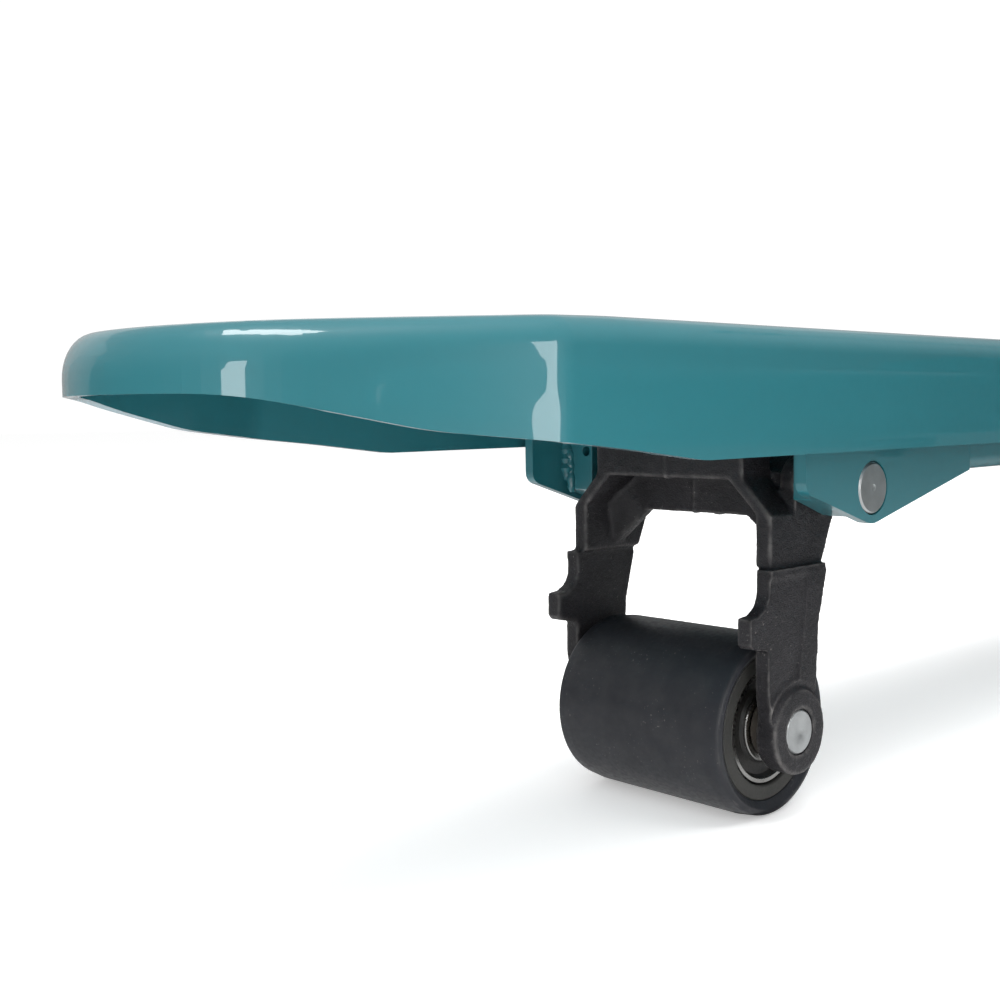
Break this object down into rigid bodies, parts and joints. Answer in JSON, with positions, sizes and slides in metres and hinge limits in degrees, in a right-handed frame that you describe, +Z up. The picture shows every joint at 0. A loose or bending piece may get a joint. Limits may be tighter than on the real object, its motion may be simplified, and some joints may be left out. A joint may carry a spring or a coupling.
{
  "type": "hand pallet truck",
  "caption": "Hand pallet truck with two tapered forks, load rollers on swinging yokes, push rods, torsion shaft, steered hydraulic pump and a tiller with a looped handle.",
  "frame": {"origin": "on the floor, under the middle of the raised truck's bounding box", "axes": "+Z up; -Y along the forks to their noses; +Y to the tiller and the operator; +X to the right across the truck"},
  "size_m": [0.685, 1.5438, 1.2179],
  "materials": {
    "teal_paint": "gloss",
    "cast_black": "rough as-cast black paint",
    "black_paint": "satin",
    "bright_steel": "turned",
    "chrome": "polished",
    "dark_steel": "satin",
    "bronze": "sintered bronze",
    "roller_black": "satin polyurethane",
    "hub_grey": "matte",
    "wheel_rubber": "satin",
    "wheel_hub": "cast",
    "grip_rubber": "soft matte",
    "lever_teal": "moulded"
  },
  "bodies": {
    "chassis": {"left_fork": "teal_paint", "right_fork": "teal_paint", "left_fork_rails": "teal_paint", "right_fork_rails": "teal_paint", "left_web_plates": "teal_paint", "right_web_plates": "teal_paint", "left_pin_bosses": "teal_paint", "right_pin_bosses": "teal_paint", "left_pivot_pin": "bright_steel", "right_pivot_pin": "bright_steel", "heel_frame": "teal_paint", "torsion_bushes": "bronze", "ram": "chrome"},
    "left_yoke_body": {"left_yoke": "cast_black", "left_yoke_bushes": "bronze", "left_roller_axle": "bright_steel", "left_axle_spacers": "black_paint", "left_push_pin": "dark_steel"},
    "right_yoke_body": {"right_yoke": "cast_black", "right_yoke_bushes": "bronze", "right_roller_axle": "bright_steel", "right_axle_spacers": "black_paint", "right_push_pin": "dark_steel"},
    "left_roller_body": {"left_roller_tread": "roller_black", "left_roller_hub": "hub_grey", "left_roller_bearings": "bright_steel"},
    "right_roller_body": {"right_roller_tread": "roller_black", "right_roller_hub": "hub_grey", "right_roller_bearings": "bright_steel"},
    "shaft_body": {"torsion_shaft": "black_paint", "link_pin": "bright_steel", "lever_pins": "dark_steel"},
    "left_rod_body": {"left_push_rod": "dark_steel"},
    "right_rod_body": {"right_push_rod": "dark_steel"},
    "link_body": {"linking_frame": "black_paint", "thrust_washer": "bronze"},
    "pump_unit": {"pump_body": "cast_black", "ram_gland": "dark_steel", "filler_plug": "bright_steel", "steer_axle": "bright_steel", "axle_washers": "dark_steel", "plunger_spring": "dark_steel"},
    "valve_body": {"valve_lever": "dark_steel"},
    "plunger_body": {"plunger": "bright_steel"},
    "left_wheel_body": {"left_wheel_tread": "wheel_rubber", "left_wheel_hub": "wheel_hub", "left_wheel_bearings": "bright_steel"},
    "right_wheel_body": {"right_wheel_tread": "wheel_rubber", "right_wheel_hub": "wheel_hub", "right_wheel_bearings": "bright_steel"},
    "tiller_body": {"tiller_tube": "black_paint", "tiller_hinge_pin": "bright_steel", "cam_roller": "bright_steel", "handle_body": "black_paint", "handle_loop": "black_paint", "handle_grip": "grip_rubber"},
    "release_body": {"release_lever": "lever_teal"},
    "pull_rod_body": {"pull_rod": "dark_steel"}
  },
  "joints": [
    {"name": "lift", "type": "slide", "parent": "chassis", "child": "link_body", "axis": [0, 0, 1], "range_m": [0, 0.12]},
    {"name": "steer", "type": "hinge", "parent": "link_body", "child": "pump_unit", "pos_m": [0, 0.60309, 0.2], "axis": [0, 0, 1], "range_deg": [-90, 90]},
    {"name": "left_wheel_spin", "type": "hinge", "parent": "pump_unit", "child": "left_wheel_body", "pos_m": [-0.069, 0.60309, 0.1], "axis": [1, 0, 0], "continuous": true},
    {"name": "right_wheel_spin", "type": "hinge", "parent": "pump_unit", "child": "right_wheel_body", "pos_m": [0.069, 0.60309, 0.1], "axis": [1, 0, 0], "continuous": true},
    {"name": "tiller_swing", "type": "hinge", "parent": "pump_unit", "child": "tiller_body", "pos_m": [0, 0.67309, 0.25], "axis": [-1, 0, 0], "range_deg": [0, 65], "stiffness_Nm_per_rad": 12, "springref_deg": -34.38},
    {"name": "plunger_stroke", "type": "slide", "parent": "pump_unit", "child": "plunger_body", "axis": [0, 0, -1], "range_m": [0, 0.0319], "deforming": ["plunger_spring"]},
    {"name": "valve_swing", "type": "hinge", "parent": "pump_unit", "child": "valve_body", "pos_m": [-0.039, 0.66509, 0.14], "axis": [1, 0, 0], "range_deg": [0, 15]},
    {"name": "release_squeeze", "type": "hinge", "parent": "tiller_body", "child": "release_body", "pos_m": [0, 0.74987, 1.12765], "axis": [1, 0, 0], "range_deg": [0, 18]},
    {"name": "pull_rod_stroke", "type": "slide", "parent": "tiller_body", "child": "pull_rod_body", "axis": [0, -0.0872, -0.9962], "range_m": [0, 0.0022], "stiffness_N_per_m": 1500, "springref_m": -0.003},
    {"name": "shaft_turn", "type": "hinge", "parent": "chassis", "child": "shaft_body", "pos_m": [0, 0.31409, 0.18], "axis": [1, 0, 0], "range_deg": [0, 64.01]},
    {"name": "left_yoke_swing", "type": "hinge", "parent": "chassis", "child": "left_yoke_body", "pos_m": [-0.2505, -0.45911, 0.1444], "axis": [-1, 0, 0], "range_deg": [0, 85.01]},
    {"name": "left_roller_spin", "type": "hinge", "parent": "left_yoke_body", "child": "left_roller_body", "pos_m": [-0.2505, -0.48401, 0.04], "axis": [1, 0, 0], "continuous": true},
    {"name": "left_rod_stroke", "type": "slide", "parent": "chassis", "child": "left_rod_body", "axis": [0, 1, 0], "range_m": [0, 0.0487]},
    {"name": "right_yoke_swing", "type": "hinge", "parent": "chassis", "child": "right_yoke_body", "pos_m": [0.2505, -0.45911, 0.1444], "axis": [-1, 0, 0], "range_deg": [0, 85.01]},
    {"name": "right_roller_spin", "type": "hinge", "parent": "right_yoke_body", "child": "right_roller_body", "pos_m": [0.2505, -0.48401, 0.04], "axis": [1, 0, 0], "continuous": true},
    {"name": "right_rod_stroke", "type": "slide", "parent": "chassis", "child": "right_rod_body", "axis": [0, 1, 0], "range_m": [0, 0.0487]}
  ],
  "couplings": [
    {"joint": "shaft_turn", "follows": "lift", "rad_per_m": 9.3084},
    {"joint": "plunger_stroke", "follows": "tiller_swing", "m_per_rad": 0.027943},
    {"joint": "release_squeeze", "follows": "pull_rod_stroke", "rad_per_m": 142.86},
    {"joint": "valve_swing", "follows": "pull_rod_stroke", "rad_per_m": 114.29},
    {"joint": "left_yoke_swing", "follows": "lift", "rad_per_m": 12.363},
    {"joint": "left_rod_stroke", "follows": "lift", "ratio": 0.40535},
    {"joint": "right_yoke_swing", "follows": "lift", "rad_per_m": 12.363},
    {"joint": "right_rod_stroke", "follows": "lift", "ratio": 0.40535}
  ]
}
